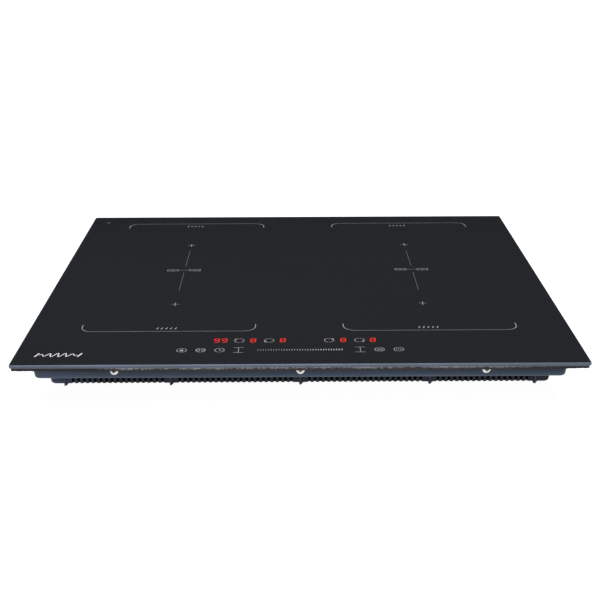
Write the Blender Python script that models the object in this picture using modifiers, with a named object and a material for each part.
"""A built-in induction cooktop with four zones: its glass top, steel pan, plastic bottom tray,
coils, electronics, two blowers and the terminal box.

Lengths are in metres. The origin is on the surface the feet stand on, under the middle of the
glass. +Z is up and the user stands on the -Y side.
"""

import math

import bmesh
import bpy
from mathutils import Matrix, Vector

GAP = 0.0003  # between pieces that touch
OVERCUT = 0.005  # how far a cutter reaches past the face it opens
JOIN = 0.001  # how far shapes that become one piece run into each other
FAR = 1.0  # beyond the cooktop on every side

# Glass top
HEIGHT = 0.052
GLASS_WIDTH, GLASS_DEPTH, GLASS_THICKNESS = 0.590, 0.520, 0.004
GLASS_CORNER, TOP_ARRIS, LOWER_ARRIS = 0.0030, 0.0008, 0.0014
GLASS_LOW = HEIGHT - GLASS_THICKNESS

# Foam seal, silicone and rails under the glass
SEAL_WIDTH, SEAL_THICKNESS, SEAL_INSET = 0.011, 0.0026, 0.001
BEAD_LOW, BEAD_WIDTH, BEAD_REACH, BEAD_CORNER = 0.0471, 0.006, 0.004, 0.010
RAIL_TOP, RAIL_SHEET, RAIL_FLANGE, RAIL_LOW = 0.0468, 0.001, 0.008, 0.031
RAIL_INSET = 0.004  # from the pan's outer face to the inner face of a rail's leg
RAIL_SHORTER = (0.020, 0.040)  # than the pan is, along X and along Y

# Steel pan
PAN_WIDTH, PAN_FRONT, PAN_BACK = 0.5555, -0.240, 0.242
PAN_TOP, PAN_LOW, PAN_DRAFT = 0.0455, 0.0268, 0.002
PAN_SHEET, PAN_CORNER, PAN_EDGE = 0.0008, 0.006, 0.0022
PAN_OPENING_X, PAN_OPENING_FRONT, PAN_OPENING_BACK, PAN_OPENING_CORNER = 0.256, -0.186, 0.220, 0.006

# Plastic bottom tray and the vent grille along its front
TRAY_WIDTH, TRAY_FRONT, TRAY_BACK = 0.5400, -0.2007, 0.235
TRAY_TOP, TRAY_LOW, TRAY_DRAFT = 0.0265, 0.0023, 0.001
TRAY_WALL, TRAY_CORNER, TRAY_EDGE = 0.002, 0.006, 0.0032
GRILLE_BACK = -0.189
SLOT_PITCH, SLOT_WIDTH, SLOT_TOP, SLOT_BACK = 0.006, 0.0028, 0.0215, -0.1952
FOOT_X = (-0.2528, -0.1395, 0.0, 0.1395, 0.2528)
SLOTS_BETWEEN_FEET = (17, 21, 21, 17)
FOOT_PROFILE = ((-0.0015, 0.0030), (-0.0009, 0.0), (0.0009, 0.0), (0.0034, 0.0030))  # x and z about its X
FOOT_FRONT, FOOT_BACK = -0.1982, -0.1920
RIB_WIDTH, RIB_TOP, RIB_PROUD = 0.0014, 0.0235, 0.0012  # upright, above each foot
REAR_PAD_X, REAR_PAD_Y = (0.250, 0.260), (0.190, 0.223)

# Case screws
SCREW_X, SIDE_SCREW_Y, SCREW_Z = (-0.1922, 0.0, 0.1922), 0.020, 0.0363
SCREW_FLANGE, SCREW_HEAD, SCREW_SHANK, SCREW_LENGTH = 0.0043, 0.0030, 0.0016, 0.0056
SCREW_DOME, SCREW_RIM, SCREW_SEAT = 0.0026, 0.0012, 0.0007  # heights: its top, its shoulder, its flange
SCREW_CROWN = (0.8, 0.9)  # where its dome turns down, as shares of its head's radius and height
SCREW_POINT = 0.8  # share of its length that is straight
RECESS_REACH, RECESS_HALF_WIDTH, RECESS_LOW = 0.0018, 0.0004, 0.0014
SCREW_HOLE, SCREW_HOLE_SPAN, SCREW_SIDES = 0.0021, (-0.012, 0.004), 12

# Coils
COIL_X, COIL_Y = 0.1437, (-0.092, 0.1285)
FORMER_RADIUS, FORMER_LOW, FORMER_TOP = 0.092, 0.0390, 0.0423
FORMER_HOLE = 0.0045
FERRITE_LOW, FERRITE_WIDTH, FERRITES, FERRITE_SPAN = 0.0356, 0.012, 6, (0.026, 0.086)
WINDING_INNER, WINDING_OUTER, WINDING_LOW, WINDING_TOP = 0.022, 0.088, 0.0426, 0.0466
SENSOR_RADIUS, SENSOR_CLEARANCE = 0.007, 0.002
FORMER_SIDES, WINDING_SIDES, SENSOR_SIDES = 28, 32, 16
COIL_TRAY_X, COIL_TRAY_FRONT, COIL_TRAY_BACK = (0.012, 0.262), -0.194, 0.226
COIL_TRAY_TOP, COIL_TRAY_LOW, COIL_TRAY_SHEET, COIL_TRAY_HOLE = 0.0353, 0.0279, 0.0012, 0.022
SHEET_LOW, SHEET_TOP = 0.0469, 0.0477
SHEET_FRONT, SHEET_BACK, SHEET_X, SHEET_CORNER = -0.184, 0.222, (0.046, 0.242), 0.006

# Touch control under the front of the glass
CONTROL_X, CONTROL_WIDTH = -0.010, 0.260
CONTROL_FRONT, CONTROL_BACK, BOARD_BACK = -0.2325, -0.196, -0.187
CONTROL_LOW, CONTROL_TOP, CONTROL_WALL = 0.0279, 0.0397, 0.0015
BOARD_THICKNESS, BOARD_CORNER, BOARD_NARROWER = 0.0016, 0.003, 0.004
DISPLAY_Y, DISPLAY_DEPTH, DISPLAY_TOP = -0.1984, 0.012, 0.0477
ZONE_DISPLAY_X = (-0.0502, -0.0179, 0.0443, 0.0759)
TIMER_DISPLAY_X = -0.0843
ZONE_DISPLAY_WIDTH, TIMER_DISPLAY_WIDTH = 0.010, 0.020

# Power electronics in the tray
POWER_X, POWER_SIZE, POWER_Y, POWER_LOW = 0.130, (0.190, 0.224), -0.008, 0.0075
SINK_X, SINK_WIDTH, SINK_FRONT, SINK_BACK = 0.095, 0.072, -0.050, 0.100
SINK_BASE, SINK_TOP, SINK_FINS, FIN_THICKNESS = 0.004, 0.030, 9, 0.0016
CAPACITOR_X, CAPACITOR_Y, CAPACITOR_SIZE = 0.182, 0.020, (0.030, 0.050, 0.020)
FILTER_X, FILTER_Y, FILTER_SIZE = 0.207, 0.165, (0.080, 0.080)
CHOKE_INNER, CHOKE_OUTER, CHOKE_HEIGHT = 0.008, 0.020, 0.016

# Blowers
FAN_X, FAN_Y, FAN_SIZE, FAN_LOW, FAN_TOP = 0.095, 0.165, 0.104, 0.0047, 0.0298
FAN_WALL, FAN_CAVITY, FAN_INLET, FAN_OUTLET = 0.0015, 0.043, 0.034, 0.060
FAN_CORNER, FAN_LIP = 0.006, 0.003
ROTOR_RADIUS, ROTOR_LOW, ROTOR_TOP, ROTOR_HUB, HUB_LOW = 0.039, 0.0080, 0.0270, 0.016, 0.0130
ROTOR_PLATE, ROTOR_RING, BLADES, BLADE_SIZE = 0.0015, 0.004, 12, (0.010, 0.0012)
BLADE_INSET = (0.001, 0.0005)  # from the rotor's outer face and from its lower face
INTAKE_SLOTS, INTAKE_PITCH, INTAKE_WIDTH, INTAKE_RADIUS = 9, 0.0072, 0.0034, 0.035

# Terminal box in the back left corner of the tray
BOX_X, BOX_Y, BOX_WALL, BOX_TOP = (-0.246, -0.160), (0.168, 0.2300), 0.0015, 0.0255
COVER_X, COVER_Y, COVER_THICKNESS = (-0.244, -0.162), (0.1700, 0.2301), 0.002
HINGE_RADIUS, HINGE_LENGTH, HINGE_X = 0.0012, 0.010, (-0.232, -0.174)
NOTCH_DEPTH, NOTCH_TOP = 0.002, 0.006
BLOCK_SIZE, BLOCK_Y, BLOCK_Z = (0.066, 0.024, 0.014), 0.1860, 0.0165
TERMINALS, WELL, WELL_PITCH, WELL_ROWS = 5, 0.008, 0.012, (-0.006, 0.006)
INLET_X, INLET_Z, INLET_RADIUS, INLET_REACH = -0.203, 0.0145, 0.0072, 0.020
CLAMP_Y, CLAMP_WIDTH, CLAMP_DEPTH, CLAMP_LOW, CLAMP_TOP = 0.2240, 0.030, 0.008, 0.0046, 0.0236

# Lead from the touch board down to the left power board: points along its centre line
LEAD_RADIUS = 0.002
LEAD_POINTS = (
    (-0.004, -0.1890, 0.0375),
    (-0.003, -0.1800, 0.0370),
    (0.000, -0.1720, 0.0300),
    (0.000, -0.1660, 0.0180),
    (-0.006, -0.1540, 0.0095),
    (-0.020, -0.1360, 0.0075),
    (-0.032, -0.1235, 0.0080),
)
LEAD_STEPS = 3  # between neighbouring points

ROUND = 24  # sides of a middle-sized circle
HOLE_SIDES, BARREL_SIDES, INLET_SIDES, FAN_SIDES = 12, 16, 32, 32
CORNER_STEPS, EDGE_STEPS, ARRIS_STEPS = 4, 3, 2
SMOOTH_ANGLE = math.radians(35)
LEVEL = 1e-5  # heights closer than this are the same
WELD = 1e-6
EMPTY_SIZE = 0.02


def clear_scene():
    for obj in list(bpy.data.objects):
        bpy.data.objects.remove(obj)


def new_collection(name):
    collection = bpy.data.collections.new(name)
    bpy.context.scene.collection.children.link(collection)
    return collection


def new_material(name, colour, roughness, metallic=0.0):
    material = bpy.data.materials.new(name)
    material.use_nodes = True
    shader = material.node_tree.nodes["Principled BSDF"]
    shader.inputs["Base Color"].default_value = (*colour, 1.0)
    shader.inputs["Roughness"].default_value = roughness
    shader.inputs["Metallic"].default_value = metallic
    material.diffuse_color = (*colour, 1.0)
    return material


def make_materials():
    """Colours are linear."""
    return {
        "ceramic_glass": new_material("ceramic_glass", (0.019, 0.021, 0.025), 0.12),
        "foam": new_material("foam", (0.030, 0.028, 0.032), 0.95),
        "silicone": new_material("silicone", (0.25, 0.26, 0.28), 0.6),
        "black_steel": new_material("black_steel", (0.045, 0.052, 0.070), 0.45, 0.3),
        "zinc": new_material("zinc", (0.72, 0.70, 0.67), 0.35, 0.9),
        "galvanised": new_material("galvanised", (0.55, 0.57, 0.60), 0.4, 0.9),
        "aluminium": new_material("aluminium", (0.70, 0.71, 0.73), 0.35, 0.9),
        "black_plastic": new_material("black_plastic", (0.020, 0.022, 0.032), 0.5),
        "grey_plastic": new_material("grey_plastic", (0.35, 0.36, 0.38), 0.5),
        "white_plastic": new_material("white_plastic", (0.75, 0.75, 0.72), 0.5),
        "mica": new_material("mica", (0.62, 0.60, 0.54), 0.6),
        "copper": new_material("copper", (0.72, 0.30, 0.14), 0.35, 0.9),
        "ferrite": new_material("ferrite", (0.035, 0.035, 0.038), 0.5),
        "circuit_board": new_material("circuit_board", (0.03, 0.16, 0.06), 0.45),
        "display": new_material("display", (0.06, 0.01, 0.01), 0.3),
    }


def add_object(name, mesh, material=None, parent=None):
    """A part if it has a material, and otherwise a cutter, which isn't rendered."""
    obj = bpy.data.objects.new(name, mesh)
    if material:
        if not mesh.materials:
            mesh.materials.append(material)
        PARTS.objects.link(obj)
    else:
        obj.hide_render = True
        obj.display_type = "WIRE"
        CUTTERS.objects.link(obj)
    obj.parent = parent
    return obj


def add_empty(name, location):
    empty = bpy.data.objects.new(name, None)
    empty.empty_display_size = EMPTY_SIZE
    empty.location = location
    PARTS.objects.link(empty)
    return empty


def finish_mesh(bm, name):
    mesh = bpy.data.meshes.new(name)
    bm.to_mesh(mesh)
    bm.free()
    return mesh


def span_box(bm, x, y, z):
    """A box into bm between the two ends given on each axis."""
    centre = Vector((sum(x) / 2, sum(y) / 2, sum(z) / 2))
    size = Vector((x[1] - x[0], y[1] - y[0], z[1] - z[0]))
    bmesh.ops.create_cube(bm, size=1.0, matrix=Matrix.Translation(centre) @ Matrix.Diagonal((*size, 1.0)))


def boxes(name, spans, material=None, parent=None):
    bm = bmesh.new()
    for x, y, z in spans:
        span_box(bm, x, y, z)
    return add_object(name, finish_mesh(bm, name), material, parent)


def cylinder(name, radius, low, high, material=None, sides=ROUND, parent=None):
    """An upright cylinder about the object's own Z axis."""
    bm = bmesh.new()
    middle = Matrix.Translation((0, 0, (low + high) / 2))
    bmesh.ops.create_cone(
        bm, cap_ends=True, segments=sides, radius1=radius, radius2=radius, depth=high - low, matrix=middle
    )
    return add_object(name, finish_mesh(bm, name), material, parent)


def shade_round(mesh):
    mesh.shade_smooth()
    mesh.set_sharp_from_angle(angle=SMOOTH_ANGLE)


def boolean(target, tool, operation):
    modifier = target.modifiers.new(operation.lower(), "BOOLEAN")
    modifier.object = tool
    modifier.operation = operation
    return target


def bake(obj):
    """Gives the object its evaluated mesh, so that copies can share it."""
    bpy.context.view_layer.update()
    graph = bpy.context.evaluated_depsgraph_get()
    mesh = bpy.data.meshes.new_from_object(obj.evaluated_get(graph))
    obj.modifiers.clear()
    obj.data = mesh
    return obj


def copy_of(source, name, location, turn=(0, 0, 0), parent=None):
    twin = bpy.data.objects.new(name, source.data)
    twin.location = location
    twin.rotation_euler = turn
    twin.parent = parent
    PARTS.objects.link(twin)
    return twin


def rounded_rectangle(width, depth, radius, centre=(0, 0), steps=CORNER_STEPS):
    """Points of the outline, counter-clockwise."""
    points = []
    for quarter, (side_x, side_y) in enumerate(((1, 1), (-1, 1), (-1, -1), (1, -1))):
        corner_x = centre[0] + side_x * (width / 2 - radius)
        corner_y = centre[1] + side_y * (depth / 2 - radius)
        for step in range(steps + 1):
            angle = math.pi / 2 * (quarter + step / steps)
            points.append((corner_x + radius * math.cos(angle), corner_y + radius * math.sin(angle)))
    return points


def circle(radius, centre=(0, 0), sides=ROUND):
    angles = (2 * math.pi * side / sides for side in range(sides))
    return [(centre[0] + radius * math.cos(a), centre[1] + radius * math.sin(a)) for a in angles]


def plate(name, outlines, low, high, material=None, parent=None):
    """A flat piece from low to high. Outlines inside the first one are holes."""
    curve = bpy.data.curves.new(name, "CURVE")
    curve.dimensions = "2D"
    curve.fill_mode = "BOTH"
    curve.extrude = (high - low) / 2
    for outline in outlines:
        spline = curve.splines.new("POLY")
        spline.points.add(len(outline) - 1)
        spline.use_cyclic_u = True
        for point, (x, y) in zip(spline.points, outline):
            point.co = (x, y, 0, 1)
    guide = bpy.data.objects.new(name + "_outline", curve)
    CUTTERS.objects.link(guide)
    bpy.context.view_layer.update()
    graph = bpy.context.evaluated_depsgraph_get()
    mesh = bpy.data.meshes.new_from_object(guide.evaluated_get(graph))
    bpy.data.objects.remove(guide)
    bm = bmesh.new()
    bm.from_mesh(mesh)
    bmesh.ops.remove_doubles(bm, verts=bm.verts, dist=WELD)
    bmesh.ops.translate(bm, verts=bm.verts, vec=(0, 0, (low + high) / 2))
    bmesh.ops.recalc_face_normals(bm, faces=bm.faces)
    bm.to_mesh(mesh)
    bm.free()
    mesh.name = name
    return add_object(name, mesh, material, parent)


def turned(name, profile, material=None, steps=ROUND, closed=False, parent=None):
    """A profile of (radius, z) points turned about Z. It runs from top to bottom on its outer side."""
    mesh = bpy.data.meshes.new(name)
    count = len(profile)
    edges = [(i, (i + 1) % count) for i in range(count if closed else count - 1)]
    mesh.from_pydata([(r, 0, z) for r, z in profile], edges, [])
    obj = add_object(name, mesh, material, parent)
    screw = obj.modifiers.new("turn", "SCREW")
    screw.steps = steps
    screw.render_steps = steps
    screw.use_merge_vertices = True
    screw.merge_threshold = LEVEL
    return obj


def ring(name, inner, outer, low, high, material=None, steps=ROUND, parent=None):
    profile = ((inner, high), (outer, high), (outer, low), (inner, low))
    return turned(name, profile, material, steps, closed=True, parent=parent)


def tub(name, width, front, back, top, low, draft, corner, edge, sheet, material):
    """A sheet tub, open at the top, whose walls lean in by the draft as they go down."""
    bm = bmesh.new()
    span_box(bm, (-width / 2, width / 2), (front, back), (low, top))
    middle = (front + back) / 2
    for vert in bm.verts:
        if vert.co.z < (low + top) / 2:
            vert.co.x -= math.copysign(draft, vert.co.x)
            vert.co.y -= math.copysign(draft, vert.co.y - middle)
    bmesh.ops.delete(bm, geom=[face for face in bm.faces if face.normal.z > 0.9], context="FACES")
    upright = [e for e in bm.edges if abs(e.verts[0].co.z - e.verts[1].co.z) > (top - low) / 2]
    bmesh.ops.bevel(bm, geom=upright, offset=corner, segments=CORNER_STEPS, profile=0.5, affect="EDGES")
    bottom = [e for e in bm.edges if all(v.co.z < low + LEVEL for v in e.verts)]
    bmesh.ops.bevel(bm, geom=bottom, offset=edge, segments=EDGE_STEPS, profile=0.5, affect="EDGES")
    obj = add_object(name, finish_mesh(bm, name), material)
    shell = obj.modifiers.new("sheet", "SOLIDIFY")
    shell.thickness = sheet
    shell.offset = -1
    shell.use_even_offset = True
    return obj


def make_glass():
    """The glass plate. Its ground edge is rounded off less at the top than underneath."""
    outline = rounded_rectangle(GLASS_WIDTH, GLASS_DEPTH, GLASS_CORNER)
    glass = plate("glass_top", [outline], GLASS_LOW, HEIGHT, MATERIALS["ceramic_glass"])
    bm = bmesh.new()
    bm.from_mesh(glass.data)
    for level, arris in ((HEIGHT, TOP_ARRIS), (GLASS_LOW, LOWER_ARRIS)):
        flat = [e for e in bm.edges if all(abs(v.co.z - level) < LEVEL for v in e.verts)]
        rim = [e for e in flat if any(abs(face.normal.z) < 0.5 for face in e.link_faces)]
        bmesh.ops.bevel(bm, geom=rim, offset=arris, segments=ARRIS_STEPS, profile=0.5, affect="EDGES")
    bm.to_mesh(glass.data)
    bm.free()


def make_seal_and_rails():
    high, low = GLASS_LOW - GAP, GLASS_LOW - GAP - SEAL_THICKNESS
    x, y = GLASS_WIDTH / 2 - SEAL_INSET, GLASS_DEPTH / 2 - SEAL_INSET
    inner_x, inner_y = x - SEAL_WIDTH, y - SEAL_WIDTH
    foam = MATERIALS["foam"]
    boxes("seal_strip_front", [((-x, x), (-y, -inner_y), (low, high))], foam)
    boxes("seal_strip_back", [((-x, x), (inner_y, y), (low, high))], foam)
    for side, name in ((-1, "left"), (1, "right")):
        across = sorted((side * inner_x, side * x))
        along = (-inner_y + GAP, inner_y - GAP)
        boxes("seal_strip_" + name, [(across, along, (low, high))], foam)

    middle = (0, (PAN_FRONT + PAN_BACK) / 2)
    width, depth = PAN_WIDTH + 2 * BEAD_REACH, PAN_BACK - PAN_FRONT + 2 * BEAD_REACH
    outer = rounded_rectangle(width, depth, BEAD_CORNER, middle)
    width, depth = width - 2 * BEAD_WIDTH, depth - 2 * BEAD_WIDTH
    inner = rounded_rectangle(width, depth, BEAD_CORNER - BEAD_WIDTH, middle)
    plate("silicone_bead", [outer, inner], BEAD_LOW, GLASS_LOW - GAP, MATERIALS["silicone"])


def make_rail(name, length, centre, turn):
    """An angle bonded under the glass. Before it is turned it lies along X, its leg on the inner side."""
    along = (-length / 2, length / 2)
    flange = (along, (-RAIL_FLANGE, 0), (RAIL_TOP - RAIL_SHEET, RAIL_TOP))
    web = (along, (-RAIL_SHEET, 0), (RAIL_LOW, RAIL_TOP - RAIL_SHEET / 2))
    rail = boxes(name, [flange], MATERIALS["galvanised"])
    extra = boxes(name + "_leg", [web])
    for obj in (rail, extra):
        obj.location = centre
        obj.rotation_euler = (0, 0, turn)
    return boolean(rail, extra, "UNION")


def make_screw():
    """A flanged pan-head screw with a cross recess, standing head up with its seat at z = 0."""
    profile = (
        (0, SCREW_DOME),
        (SCREW_CROWN[0] * SCREW_HEAD, SCREW_CROWN[1] * SCREW_DOME),
        (SCREW_HEAD, SCREW_RIM),
        (SCREW_FLANGE, SCREW_SEAT),
        (SCREW_FLANGE, 0),
        (SCREW_SHANK, 0),
        (SCREW_SHANK, -SCREW_POINT * SCREW_LENGTH),
        (0, -SCREW_LENGTH),
    )
    screw = turned("front_screw_1", profile, MATERIALS["zinc"], steps=SCREW_SIDES)
    long, thin = RECESS_REACH, RECESS_HALF_WIDTH
    cross = [(long, thin), (thin, thin), (thin, long)]
    cross += [(-x, y) for x, y in reversed(cross)]
    cross += [(-x, -y) for x, y in cross]
    recess = plate("screw_recess", [cross], RECESS_LOW, 2 * SCREW_DOME)
    recess.rotation_euler = (0, 0, math.pi / SCREW_SIDES)
    bake(boolean(screw, recess, "DIFFERENCE"))
    shade_round(screw.data)
    return screw


def make_case_screws(holed):
    """Screws through the pan's walls into the rails. A hole is cut for each in every piece of holed."""
    screw = make_screw()
    lean = math.atan(PAN_DRAFT / (PAN_TOP - PAN_LOW))
    inset = PAN_DRAFT * (PAN_TOP - SCREW_Z) / (PAN_TOP - PAN_LOW)
    tilt = math.pi / 2 + lean
    places = []
    for index, x in enumerate(SCREW_X):
        places.append((f"front_screw_{index + 1}", (x, PAN_FRONT + inset, SCREW_Z), (tilt, 0, 0)))
        places.append((f"rear_screw_{index + 1}", (x, PAN_BACK - inset, SCREW_Z), (-tilt, 0, 0)))
    side = PAN_WIDTH / 2 - inset
    places.append(("left_screw", (-side, SIDE_SCREW_Y, SCREW_Z), (0, -tilt, 0)))
    places.append(("right_screw", (side, SIDE_SCREW_Y, SCREW_Z), (0, tilt, 0)))
    for name, spot, turn in places:
        obj = screw if name == screw.name else copy_of(screw, name, spot, turn)
        obj.rotation_euler = turn
        outward = obj.rotation_euler.to_matrix() @ Vector((0, 0, 1))
        obj.location = Vector(spot) + GAP * outward
        hole = cylinder(name + "_hole", SCREW_HOLE, *SCREW_HOLE_SPAN, sides=HOLE_SIDES)
        hole.location = spot
        hole.rotation_euler = turn
        for piece, names in holed:
            if name in names:
                boolean(piece, hole, "DIFFERENCE")


def make_pan():
    pan = tub(
        "housing_pan", PAN_WIDTH, PAN_FRONT, PAN_BACK, PAN_TOP, PAN_LOW, PAN_DRAFT,
        PAN_CORNER, PAN_EDGE, PAN_SHEET, MATERIALS["black_steel"],
    )
    width, depth = 2 * PAN_OPENING_X, PAN_OPENING_BACK - PAN_OPENING_FRONT
    centre = (0, (PAN_OPENING_BACK + PAN_OPENING_FRONT) / 2)
    outline = rounded_rectangle(width, depth, PAN_OPENING_CORNER, centre)
    opening = plate("pan_opening", [outline], PAN_LOW - OVERCUT, PAN_LOW + OVERCUT)
    return boolean(pan, opening, "DIFFERENCE")


def make_frame():
    """The pan, the four rails bonded under the glass and the screws that join them."""
    pan = make_pan()
    side_leg = PAN_WIDTH / 2 - RAIL_INSET
    long, short = PAN_WIDTH - RAIL_SHORTER[0], PAN_BACK - PAN_FRONT - RAIL_SHORTER[1]
    middle = (PAN_FRONT + PAN_BACK) / 2
    rails = (
        make_rail("glass_rail_front", long, (0, PAN_FRONT + RAIL_INSET, 0), 0),
        make_rail("glass_rail_back", long, (0, PAN_BACK - RAIL_INSET, 0), math.pi),
        make_rail("glass_rail_left", short, (-side_leg, middle, 0), -math.pi / 2),
        make_rail("glass_rail_right", short, (side_leg, middle, 0), math.pi / 2),
    )
    front = [f"front_screw_{i}" for i in (1, 2, 3)]
    rear = [f"rear_screw_{i}" for i in (1, 2, 3)]
    sides = ["left_screw", "right_screw"]
    holed = zip((pan, *rails), (front + rear + sides, front, rear, sides[:1], sides[1:]))
    make_case_screws(list(holed))


def tray_tub(name, material):
    return tub(
        name, TRAY_WIDTH, TRAY_FRONT, TRAY_BACK, TRAY_TOP, TRAY_LOW, TRAY_DRAFT,
        TRAY_CORNER, TRAY_EDGE, TRAY_WALL, material,
    )


def make_vent_grille():
    """The front of the tray: slots down its face and round its lower edge, and five ribbed feet."""
    grille = tray_tub("vent_grille", MATERIALS["black_plastic"])
    keep = boxes("grille_part", [((-FAR, FAR), (-FAR, GRILLE_BACK - GAP), (-FAR, FAR))])
    boolean(grille, keep, "INTERSECT")
    spans = []
    for left, right, count in zip(FOOT_X, FOOT_X[1:], SLOTS_BETWEEN_FEET):
        for index in range(count):
            x = (left + right) / 2 + (index - (count - 1) / 2) * SLOT_PITCH
            across = (x - SLOT_WIDTH / 2, x + SLOT_WIDTH / 2)
            spans.append((across, (TRAY_FRONT - OVERCUT, SLOT_BACK), (-OVERCUT, SLOT_TOP)))
    boolean(grille, boxes("grille_slots", spans), "DIFFERENCE")
    reach = (FOOT_BACK - FOOT_FRONT) / 2
    for index, x in enumerate(FOOT_X):
        wedge = [(x + across, up) for across, up in FOOT_PROFILE]
        foot = plate(f"grille_foot_{index + 1}", [wedge], -reach, reach)
        foot.rotation_euler = (math.pi / 2, 0, 0)
        foot.location = (0, FOOT_FRONT + reach, 0)
        boolean(grille, foot, "UNION")
        across = (x - RIB_WIDTH / 2, x + RIB_WIDTH / 2)
        rib = (across, (TRAY_FRONT - RIB_PROUD, FOOT_BACK), (FOOT_PROFILE[0][1] / 2, RIB_TOP))
        boolean(grille, boxes(f"grille_rib_{index + 1}", [rib]), "UNION")


def intake_slots(fan_x):
    """The slots under a blower, with their ends on a circle."""
    spans = []
    for index in range(INTAKE_SLOTS):
        y = (index - (INTAKE_SLOTS - 1) / 2) * INTAKE_PITCH
        reach = math.sqrt(INTAKE_RADIUS**2 - y**2)
        slot_y = (FAN_Y + y - INTAKE_WIDTH / 2, FAN_Y + y + INTAKE_WIDTH / 2)
        spans.append(((fan_x - reach, fan_x + reach), slot_y, (-OVERCUT, TRAY_LOW + OVERCUT)))
    return spans


def make_bottom_tray():
    tray = tray_tub("bottom_tray", MATERIALS["black_plastic"])
    front_part = boxes("tray_front_part", [((-FAR, FAR), (-FAR, GRILLE_BACK), (-FAR, FAR))])
    boolean(tray, front_part, "DIFFERENCE")
    shell = (BOX_X, (BOX_Y[0], TRAY_BACK - JOIN), (TRAY_LOW + JOIN, BOX_TOP))
    boolean(tray, boxes("terminal_box_shell", [shell]), "UNION")
    pads = [(sorted(side * x for x in REAR_PAD_X), REAR_PAD_Y, (0, TRAY_LOW + JOIN)) for side in (-1, 1)]
    boolean(tray, boxes("rear_pads", pads), "UNION")
    room = (
        (BOX_X[0] + BOX_WALL, BOX_X[1] - BOX_WALL),
        (BOX_Y[0] + BOX_WALL, TRAY_BACK - TRAY_DRAFT - TRAY_WALL - BOX_WALL),
        (-OVERCUT, BOX_TOP - BOX_WALL),
    )
    boolean(tray, boxes("terminal_box_room", [room]), "DIFFERENCE")
    notches = []
    for x in HINGE_X:
        across = (x - HINGE_LENGTH / 2 - GAP, x + HINGE_LENGTH / 2 + GAP)
        along = (COVER_Y[0] - HINGE_RADIUS - 2 * GAP, COVER_Y[0] + NOTCH_DEPTH)
        notches.append((across, along, (0, NOTCH_TOP)))
    boolean(tray, boxes("hinge_notches", notches), "DIFFERENCE")
    inlet = cylinder("cable_inlet_hole", INLET_RADIUS, -INLET_REACH, INLET_REACH, sides=INLET_SIDES)
    inlet.location = (INLET_X, TRAY_BACK, INLET_Z)
    inlet.rotation_euler = (math.pi / 2, 0, 0)
    boolean(tray, inlet, "DIFFERENCE")
    boolean(tray, boxes("intake_slots", intake_slots(-FAN_X) + intake_slots(FAN_X)), "DIFFERENCE")


def make_terminal_box():
    hinge = add_empty("cover_hinge", (0, COVER_Y[0], TRAY_LOW))
    depth = COVER_Y[1] - COVER_Y[0]
    panel = [(COVER_X, (GAP, depth), (0, COVER_THICKNESS))]
    cover = boxes("terminal_cover", panel, MATERIALS["black_plastic"], hinge)
    reach = HINGE_LENGTH / 2
    for index, x in enumerate(HINGE_X):
        name = f"cover_barrel_{index + 1}"
        barrel = cylinder(name, HINGE_RADIUS, -reach, reach, sides=BARREL_SIDES, parent=hinge)
        barrel.rotation_euler = (0, math.pi / 2, 0)
        barrel.location = (x, 0, 0)
        boolean(cover, barrel, "UNION")

    middle = (INLET_X, BLOCK_Y, BLOCK_Z)
    span = [(place - size / 2, place + size / 2) for place, size in zip(middle, BLOCK_SIZE)]
    block = boxes("terminal_block", [span], MATERIALS["white_plastic"])
    wells = []
    for index in range(TERMINALS):
        x = INLET_X + (index - (TERMINALS - 1) / 2) * WELL_PITCH
        for row in WELL_ROWS:
            y = BLOCK_Y + row
            wells.append(((x - WELL / 2, x + WELL / 2), (y - WELL / 2, y + WELL / 2), (0, BLOCK_Z)))
    boolean(block, boxes("terminal_wells", wells), "DIFFERENCE")

    low, high, half = CLAMP_LOW, CLAMP_TOP, CLAMP_WIDTH / 2
    outline = [(-half, low), (half, low), (half, high), (-half, high)]
    clamp = plate(
        "cable_clamp", [outline, circle(INLET_RADIUS + GAP, (0, INLET_Z))],
        -CLAMP_DEPTH / 2, CLAMP_DEPTH / 2, MATERIALS["grey_plastic"],
    )
    clamp.rotation_euler = (math.pi / 2, 0, 0)
    clamp.location = (INLET_X, CLAMP_Y, 0)


def make_coil(name, centre, originals):
    """One coil module about its own axis. Later modules share the first one's meshes."""
    hub = add_empty("coil_" + name, (*centre, 0))
    if not originals:
        inner = (FORMER_LOW + FORMER_TOP) / 2
        former = ring(
            "coil_former_" + name, FORMER_HOLE, FORMER_RADIUS, FORMER_LOW, FORMER_TOP,
            MATERIALS["ferrite"], FORMER_SIDES, hub,
        )
        bm = bmesh.new()
        for index in range(FERRITES):
            turn = Matrix.Rotation(2 * math.pi * index / FERRITES, 4, "Z")
            place = Matrix.Translation((sum(FERRITE_SPAN) / 2, 0, (FERRITE_LOW + inner) / 2))
            length = FERRITE_SPAN[1] - FERRITE_SPAN[0]
            size = Matrix.Diagonal((length, FERRITE_WIDTH, inner - FERRITE_LOW, 1))
            bmesh.ops.create_cube(bm, size=1.0, matrix=turn @ place @ size)
        ribs = add_object("ferrite_bars", finish_mesh(bm, "ferrite_bars"), parent=hub)
        bake(boolean(former, ribs, "UNION"))
        winding = bake(
            ring(
                "coil_winding_" + name, WINDING_INNER, WINDING_OUTER, WINDING_LOW, WINDING_TOP,
                MATERIALS["copper"], WINDING_SIDES, hub,
            )
        )
        sensor = cylinder(
            "coil_sensor_" + name, SENSOR_RADIUS, WINDING_LOW, WINDING_TOP,
            MATERIALS["white_plastic"], SENSOR_SIDES, hub,
        )
        for piece in (former, winding, sensor):
            shade_round(piece.data)
        return former, winding, sensor
    for source in originals:
        kind = source.name.rsplit("_", 2)[0]
        copy_of(source, f"{kind}_{name}", (0, 0, 0), parent=hub)
    return originals


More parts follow.
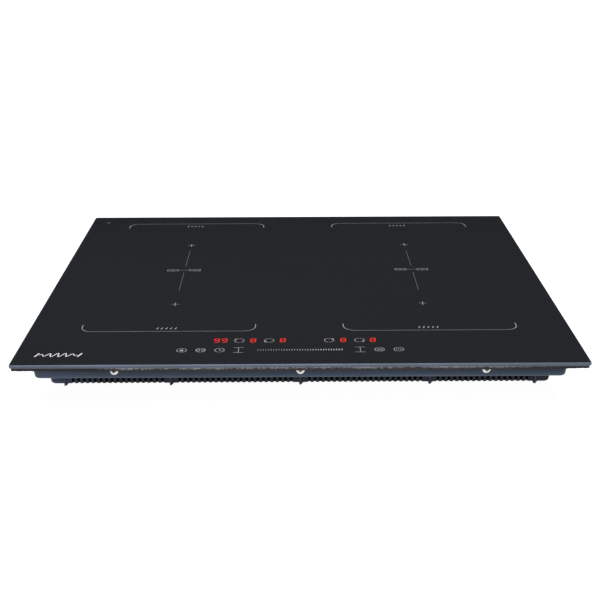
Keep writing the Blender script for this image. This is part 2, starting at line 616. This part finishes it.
def make_coils():
    modules = ()
    for side, side_name in ((-1, "left"), (1, "right")):
        for y, row_name in zip(COIL_Y, ("front", "back")):
            modules = make_coil(f"{side_name}_{row_name}", (side * COIL_X, y), modules)
        make_coil_tray("coil_tray_" + side_name, side)
        width, depth = SHEET_X[1] - SHEET_X[0], SHEET_BACK - SHEET_FRONT
        centre = (side * sum(SHEET_X) / 2, (SHEET_FRONT + SHEET_BACK) / 2)
        outline = rounded_rectangle(width, depth, SHEET_CORNER, centre)
        radius = SENSOR_RADIUS + SENSOR_CLEARANCE
        holes = [circle(radius, (side * COIL_X, y), SENSOR_SIDES) for y in COIL_Y]
        plate("insulation_sheet_" + side_name, [outline, *holes], SHEET_LOW, SHEET_TOP, MATERIALS["mica"])


def make_coil_tray(name, side):
    """A folded plate with its lips down, which stands on the pan's ledge."""
    x = sorted(side * value for value in COIL_TRAY_X)
    bm = bmesh.new()
    span_box(bm, x, (COIL_TRAY_FRONT, COIL_TRAY_BACK), (COIL_TRAY_LOW, COIL_TRAY_TOP))
    bmesh.ops.delete(bm, geom=[face for face in bm.faces if face.normal.z < -0.9], context="FACES")
    tray = add_object(name, finish_mesh(bm, name), MATERIALS["aluminium"])
    sheet = tray.modifiers.new("sheet", "SOLIDIFY")
    sheet.thickness = COIL_TRAY_SHEET
    sheet.offset = -1
    sheet.use_even_offset = True
    for index, y in enumerate(COIL_Y):
        hole = cylinder(f"{name}_hole_{index + 1}", COIL_TRAY_HOLE, COIL_TRAY_LOW, COIL_TRAY_TOP + OVERCUT)
        hole.location = (side * COIL_X, y, 0)
        boolean(tray, hole, "DIFFERENCE")


def make_touch_control():
    half = CONTROL_WIDTH / 2
    wall = CONTROL_WALL
    carrier = boxes(
        "touch_board_tray",
        [((CONTROL_X - half, CONTROL_X + half), (CONTROL_FRONT, CONTROL_BACK), (CONTROL_LOW, CONTROL_TOP))],
        MATERIALS["grey_plastic"],
    )
    inside = (
        (CONTROL_X - half + wall, CONTROL_X + half - wall),
        (CONTROL_FRONT + wall, CONTROL_BACK - wall),
        (CONTROL_LOW + wall, CONTROL_TOP + OVERCUT),
    )
    boolean(carrier, boxes("touch_board_tray_inside", [inside]), "DIFFERENCE")
    low = CONTROL_TOP + GAP
    high = low + BOARD_THICKNESS
    front = CONTROL_FRONT + BOARD_NARROWER / 2
    centre = (CONTROL_X, (BOARD_BACK + front) / 2)
    outline = rounded_rectangle(CONTROL_WIDTH - BOARD_NARROWER, BOARD_BACK - front, BOARD_CORNER, centre)
    plate("touch_board", [outline], low, high, MATERIALS["circuit_board"])
    displays = [(f"zone_display_{i + 1}", x, ZONE_DISPLAY_WIDTH) for i, x in enumerate(ZONE_DISPLAY_X)]
    displays.append(("timer_display", TIMER_DISPLAY_X, TIMER_DISPLAY_WIDTH))
    for name, x, width in displays:
        y = (DISPLAY_Y - DISPLAY_DEPTH / 2, DISPLAY_Y + DISPLAY_DEPTH / 2)
        boxes(name, [((x - width / 2, x + width / 2), y, (high + GAP, DISPLAY_TOP))], MATERIALS["display"])


def fin_outline():
    """A comb: the heat sink's base with its fins standing on it."""
    pitch = (SINK_WIDTH - FIN_THICKNESS) / (SINK_FINS - 1)
    low = POWER_LOW + BOARD_THICKNESS + GAP
    base = low + SINK_BASE
    points = [(-SINK_WIDTH / 2, low), (SINK_WIDTH / 2, low)]
    for index in reversed(range(SINK_FINS)):
        left = -SINK_WIDTH / 2 + index * pitch
        right = left + FIN_THICKNESS
        if index < SINK_FINS - 1:
            points.append((right, base))
        points += [(right, SINK_TOP), (left, SINK_TOP)]
        if index:
            points.append((left, base))
    return points


def make_power_boards():
    top = POWER_LOW + BOARD_THICKNESS
    for side, name in ((-1, "left"), (1, "right")):
        x = side * POWER_X
        outline = rounded_rectangle(*POWER_SIZE, BOARD_CORNER, (x, POWER_Y))
        plate("power_board_" + name, [outline], POWER_LOW, top, MATERIALS["circuit_board"])
        half = (SINK_BACK - SINK_FRONT) / 2
        sink = plate("heat_sink_" + name, [fin_outline()], -half, half, MATERIALS["aluminium"])
        sink.rotation_euler = (math.pi / 2, 0, 0)
        sink.location = (side * SINK_X, (SINK_FRONT + SINK_BACK) / 2, 0)
        width, depth, height = CAPACITOR_SIZE
        cap_x = side * CAPACITOR_X
        span = (
            (cap_x - width / 2, cap_x + width / 2),
            (CAPACITOR_Y - depth / 2, CAPACITOR_Y + depth / 2),
            (top + GAP, top + GAP + height),
        )
        boxes("capacitor_" + name, [span], MATERIALS["grey_plastic"])

    outline = rounded_rectangle(*FILTER_SIZE, BOARD_CORNER, (FILTER_X, FILTER_Y))
    plate("filter_board", [outline], POWER_LOW, top, MATERIALS["circuit_board"])
    low = top + GAP
    choke = ring("filter_choke", CHOKE_INNER, CHOKE_OUTER, low, low + CHOKE_HEIGHT, MATERIALS["copper"])
    choke.location = (FILTER_X, FILTER_Y, 0)


def make_blower(name, x):
    axis = add_empty("fan_axis_" + name, (x, FAN_Y, 0))
    half = FAN_SIZE / 2
    housing = plate(
        "fan_housing_" + name, [rounded_rectangle(FAN_SIZE, FAN_SIZE, FAN_CORNER)], FAN_LOW, FAN_TOP,
        MATERIALS["black_plastic"], axis,
    )
    floor, roof = FAN_LOW + FAN_WALL, FAN_TOP - FAN_WALL
    cavity = cylinder(f"fan_{name}_cavity", FAN_CAVITY, floor, roof, sides=FAN_SIDES, parent=axis)
    inlet = cylinder(f"fan_{name}_inlet", FAN_INLET, 0, floor + FAN_WALL, sides=FAN_SIDES, parent=axis)
    mouth = ((-FAN_OUTLET / 2, FAN_OUTLET / 2), (-half - OVERCUT, 0), (FAN_LOW + FAN_LIP, FAN_TOP - FAN_LIP))
    outlet = boxes(f"fan_{name}_outlet", [mouth], parent=axis)
    for cutter in (cavity, inlet, outlet):
        boolean(housing, cutter, "DIFFERENCE")

    rotor = cylinder(
        "fan_rotor_" + name, ROTOR_RADIUS, ROTOR_TOP - ROTOR_PLATE, ROTOR_TOP,
        MATERIALS["grey_plastic"], ROUND, axis,
    )
    high = ROTOR_TOP - ROTOR_PLATE / 2
    hub = cylinder(f"fan_{name}_hub", ROTOR_HUB, HUB_LOW, high, parent=axis)
    bm = bmesh.new()
    length, thickness = BLADE_SIZE
    low = ROTOR_LOW + BLADE_INSET[1]
    for index in range(BLADES):
        turn = Matrix.Rotation(2 * math.pi * index / BLADES, 4, "Z")
        place = Matrix.Translation((ROTOR_RADIUS - BLADE_INSET[0] - length / 2, 0, (low + high) / 2))
        size = Matrix.Diagonal((length, thickness, high - low, 1))
        bmesh.ops.create_cube(bm, size=1.0, matrix=turn @ place @ size)
    blades = add_object(f"fan_{name}_blades", finish_mesh(bm, "blades"), parent=axis)
    inner, rim_top = ROTOR_RADIUS - ROTOR_RING, ROTOR_LOW + ROTOR_PLATE
    rim = ring(f"fan_{name}_rim", inner, ROTOR_RADIUS, ROTOR_LOW, rim_top, parent=axis)
    for piece in (hub, blades, rim):
        boolean(rotor, piece, "UNION")


def smooth_path(points, steps):
    """Points along a Catmull-Rom curve through the given ones."""
    ends = [Vector(p) for p in points]
    ends = [2 * ends[0] - ends[1], *ends, 2 * ends[-1] - ends[-2]]
    path = []
    for a, b, c, d in zip(ends, ends[1:], ends[2:], ends[3:]):
        square, cube = 2 * a - 5 * b + 4 * c - d, 3 * b - a - 3 * c + d
        for step in range(steps):
            t = step / steps
            path.append(b + (c - a) * t / 2 + square * t**2 / 2 + cube * t**3 / 2)
    path.append(ends[-2])
    return path


def make_control_lead():
    curve = bpy.data.curves.new("control_lead", "CURVE")
    curve.dimensions = "3D"
    curve.bevel_depth = LEAD_RADIUS
    curve.bevel_resolution = 2
    curve.use_fill_caps = True
    path = smooth_path(LEAD_POINTS, LEAD_STEPS)
    spline = curve.splines.new("POLY")
    spline.points.add(len(path) - 1)
    for point, place in zip(spline.points, path):
        point.co = (*place, 1)
    lead = bpy.data.objects.new("control_lead", curve)
    curve.materials.append(MATERIALS["grey_plastic"])
    PARTS.objects.link(lead)


clear_scene()
PARTS = new_collection("induction_cooktop")
CUTTERS = new_collection("cutters")
MATERIALS = make_materials()

make_glass()
make_seal_and_rails()
make_frame()
make_vent_grille()
make_bottom_tray()
make_terminal_box()
make_coils()
make_touch_control()
make_power_boards()
make_blower("left", -FAN_X)
make_blower("right", FAN_X)
make_control_lead()
